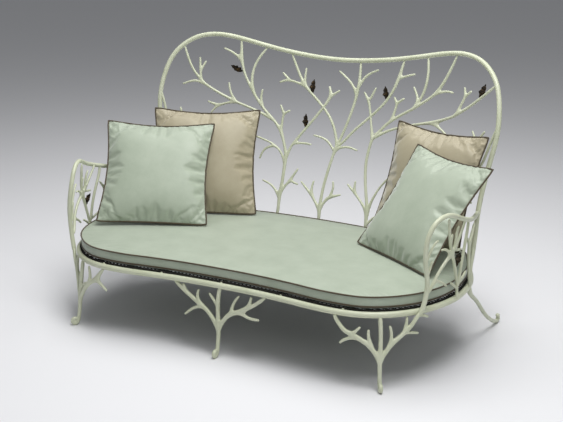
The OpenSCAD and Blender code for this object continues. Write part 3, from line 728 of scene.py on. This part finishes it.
def flatPlace(a, b):
    # each side curves in between its corners, the lower one least, and the corners are rounded
    half = pillow["width"] / 2
    lower = pillow["lowerDraw"] if b < 0 else pillow["draw"]
    corner = 1 - pillow["cornerDraw"] * abs(a * b) ** 10
    x = a * (half - pillow["draw"] * (1 - b * b)) * corner
    z = b * (half - lower * (1 - a * a)) * corner
    return x, z + half


def swell(a, b):
    # half the pillow's thickness at one place
    round4 = max((1 - a ** 4) * (1 - b ** 4), 0)
    fall = 1 - pillow["swellFall"] * (a * a + b * b)
    return pillow["thick"] / 2 * round4 ** pillow["swellPower"] * fall


def standing(side):
    # front is measured from the bowed back at the pillow's own place
    across, front, turn, lean, tip, lost = pillowPlaces[side]
    front += bow(across)
    z = crownTop - lost * cushion["crown"] + softGap + cushion["piping"] / 2
    z += pillow["width"] / 2 * abs(math.sin(math.radians(tip)))
    return (Matrix.Translation((across, seat["backY"] - front, z))
            @ Matrix.Rotation(math.radians(turn), 4, "Z")
            @ Matrix.Rotation(math.radians(-lean), 4, "X")
            @ Matrix.Rotation(math.radians(tip), 4, "Y"))


def creaseDepth(side, a, b):
    # how deep the creases press the cover in at one place; their shoulders stand up a little
    half = pillow["width"] / 2
    deep = 0
    for fromA, fromB, toA, toB, wide, depth in creases[side]:
        start, run = Vector((fromA, fromB)), Vector((toA - fromA, toB - fromB))
        place = Vector((a, b)) - start
        along = min(max(place.dot(run) / run.length_squared, 0), 1)
        off = (place - run * along).length * half / (wide * pillow["creaseWidth"] * mm)
        shoulder = math.exp(-(off - pillow["shoulderPlace"]) ** 2 / pillow["shoulderWidth"])
        valley = math.exp(-off * off) - pillow["shoulder"] * shoulder
        deep += pillow["creaseShare"] * depth * mm * valley * (1 - along) ** 1.5
    return deep


def seamPucker(a, b, seed):
    # short folds that run in from the seam all round
    edge = 1 - max(abs(a), abs(b))
    across = b if abs(a) > abs(b) else a + 3
    fold = noise.noise(Vector((across * pillow["puckerPitch"], seed, math.copysign(2, a + b))))
    return pillow["pucker"] * max(fold, -0.15) * math.exp(-edge / pillow["puckerReach"])


def pillowMesh(name, seed):
    # two faces of cloth joined at their seam, with the order of the seam's points and each point's place
    count = pillow["cells"]
    chance = random.Random(seed)
    shares = []
    for i in range(count + 1):
        t = 2 * i / count - 1
        shares.append(1.12 * t - 0.12 * t ** 3)
    points, index, places = [], {}, []
    for face in (-1, 1):
        for i in range(count + 1):
            for j in range(count + 1):
                edge = i in (0, count) or j in (0, count)
                if edge and face == 1:
                    index[face, i, j] = index[-1, i, j]
                    continue
                a, b = shares[i], shares[j]
                x, z = flatPlace(a, b)
                depth = 0 if edge else swell(a, b) * pillow["start"]
                if not edge:
                    depth += chance.uniform(-1, 1) * pillow["ruffle"]
                index[face, i, j] = len(points)
                points.append(Vector((x, face * depth, z)))
                places.append((a, b, face))
    faces = []
    for face in (-1, 1):
        for i in range(count):
            for j in range(count):
                corners = ((i, j), (i + 1, j), (i + 1, j + 1), (i, j + 1))
                quad = [index[face, p, q] for p, q in corners]
                faces.append(quad if face == -1 else quad[::-1])
    piece = meshPiece(name, points, faces)
    seam = [index[-1, i, 0] for i in range(count)]
    seam += [index[-1, count, j] for j in range(count)]
    seam += [index[-1, i, count] for i in range(count, 0, -1)]
    seam += [index[-1, 0, j] for j in range(count, 0, -1)]
    return piece, seam, places


def blowUp(piece, seam):
    # pressure swells the cloth while its seam is held
    group = piece.vertex_groups.new(name="seam")
    group.add(seam, 1.0, "REPLACE")
    pick(piece)
    modifier = piece.modifiers.new("Cloth", "CLOTH")
    for name, value in clothSettings.items():
        setattr(modifier.settings, name, value)
    modifier.settings.effector_weights.gravity = 0
    modifier.collision_settings.use_collision = False
    modifier.collision_settings.use_self_collision = False
    modifier.point_cache.frame_start = 1
    modifier.point_cache.frame_end = pillow["frames"]
    for step in range(1, pillow["frames"] + 1):
        scene.frame_set(step)
    pick(piece)
    bpy.ops.object.modifier_apply(modifier=modifier.name)
    scene.frame_set(1)


def shapeCover(piece, before, places, side, seed):
    # keep the blown-up cloth within the pillow's swell, then press its creases and puckers in
    middle = Vector((0, 0, pillow["width"] / 2))
    most, lowest = pillow["mostShift"], pillow["lowest"]
    for vertex, start, (a, b, face) in zip(piece.data.vertices, before, places):
        roof = swell(a, b) + pillow["proud"]
        vertex.co.y = face * min(abs(vertex.co.y), roof) if start.y else start.y
        shift = vertex.co - start
        if shift.length > most:
            vertex.co = start + shift * (most / shift.length)
        if start.z > lowest:
            vertex.co.z = max(vertex.co.z, lowest)
        deep = seamPucker(a, b, seed) + (creaseDepth(side, a, b) if face == -1 else 0)
        if start.y:
            vertex.co.y -= face * min(deep, pillow["deepest"] * abs(vertex.co.y))
        edge = 1 - max(abs(a), abs(b))
        pull = pillow["seamPull"] * max(1 - edge / pillow["seamPullReach"], 0)
        vertex.co += (middle - vertex.co).normalized() * max(deep, 0) * pull


def makePillow(side, material, slot, seed):
    body = "pillow_" + side
    piece, seam, places = pillowMesh(body + "_cover", seed)
    before = [v.co.copy() for v in piece.data.vertices]
    blowUp(piece, seam)
    shapeCover(piece, before, places, side, seed)
    seamLine = [piece.data.vertices[i].co.copy() for i in seam]
    place = standing(side)
    piece.data.transform(place)
    useModifier(piece, "SUBSURF", levels=1, render_levels=1)
    smoothShade(piece)
    hand(piece, material, slot, body, body)
    cord = pipingTube("piping_" + side + "_cord", [place @ p for p in seamLine], pillow["cord"])
    hand(cord, brownCord, "brown_piping", body, "piping_" + side)


makePillow("tan_left", tanCloth, "tan_cloth", 3)
makePillow("green_left", sageCloth, "sage_cloth", 5)
makePillow("tan_right", tanCloth, "tan_cloth", 8)
makePillow("green_right", sageCloth, "sage_cloth", 13)
print("pillows made")


# camera, floor and light

# the camera's place, its turn in degrees, and its lens by the focal length in pixels of the picture
view = {
    "place": (2777.92 * mm, -5185.59 * mm, 2251.66 * mm),
    "azimuth": 28.105,
    "elevation": 15.916,
    "roll": 0.471,
    "focalPixels": 1193.43,
    "imageWidth": 563,
    "sensor": 36,
}


def camera():
    a, e = math.radians(view["azimuth"]), math.radians(view["elevation"])
    r = math.radians(view["roll"])
    ahead = Vector((-math.sin(a) * math.cos(e), math.cos(a) * math.cos(e), -math.sin(e)))
    right = Vector((math.cos(a), math.sin(a), 0))
    up = right.cross(ahead)
    tiltedRight = right * math.cos(r) + up * math.sin(r)
    tiltedUp = up * math.cos(r) - right * math.sin(r)
    lens = bpy.data.cameras.new("camera")
    lens.sensor_width = view["sensor"]
    lens.sensor_fit = "HORIZONTAL"
    lens.lens = view["focalPixels"] / view["imageWidth"] * view["sensor"]
    lens.clip_end = 100
    eye = bpy.data.objects.new("camera", lens)
    scene.collection.objects.link(eye)
    turn = Matrix((tiltedRight, tiltedUp, -ahead)).transposed()
    eye.matrix_world = Matrix.Translation(view["place"]) @ turn.to_4x4()
    scene.camera = eye


def floor():
    deselect()
    bpy.ops.mesh.primitive_plane_add(size=40, location=(0, 0, 0))
    ground = bpy.context.object
    ground.name = "floor"
    material, _, shader, _ = newMaterial("floorCloth")
    shader.inputs["Base Color"].default_value = tone(*room["floor"])
    shader.inputs["Roughness"].default_value = room["floorRoughness"]
    ground.data.materials.append(material)


room = {
    "floor": (226, 226, 228),
    "floorRoughness": 0.9,
    "sky": (0.9, 0.92, 0.95, 1),
    "skyPower": 0.24,
}
lampTarget = (0, 0, 0.6)
lamps = {
    "key": {"place": (1.4, -1.1, 5.0), "size": 2.6, "power": 190},
    "fill": {"place": (4.4, -4.2, 3.0), "size": 3.6, "power": 34},
    "top": {"place": (-0.8, 0.9, 4.8), "size": 3.0, "power": 105},
}


def lights():
    target = Vector(lampTarget)
    for name, lamp in lamps.items():
        light = bpy.data.lights.new(name, "AREA")
        light.size = lamp["size"]
        light.energy = lamp["power"]
        piece = bpy.data.objects.new(name, light)
        scene.collection.objects.link(piece)
        piece.location = lamp["place"]
        piece.rotation_euler = (target - piece.location).to_track_quat("-Z", "Y").to_euler()
    world = bpy.data.worlds.new("studio")
    scene.world = world
    world.use_nodes = True
    tree = world.node_tree
    background = tree.nodes["Background"]
    background.inputs["Color"].default_value = room["sky"]
    background.inputs["Strength"].default_value = room["skyPower"]
    scene.view_settings.view_transform = "Standard"


camera()
floor()
lights()
print("stage set")
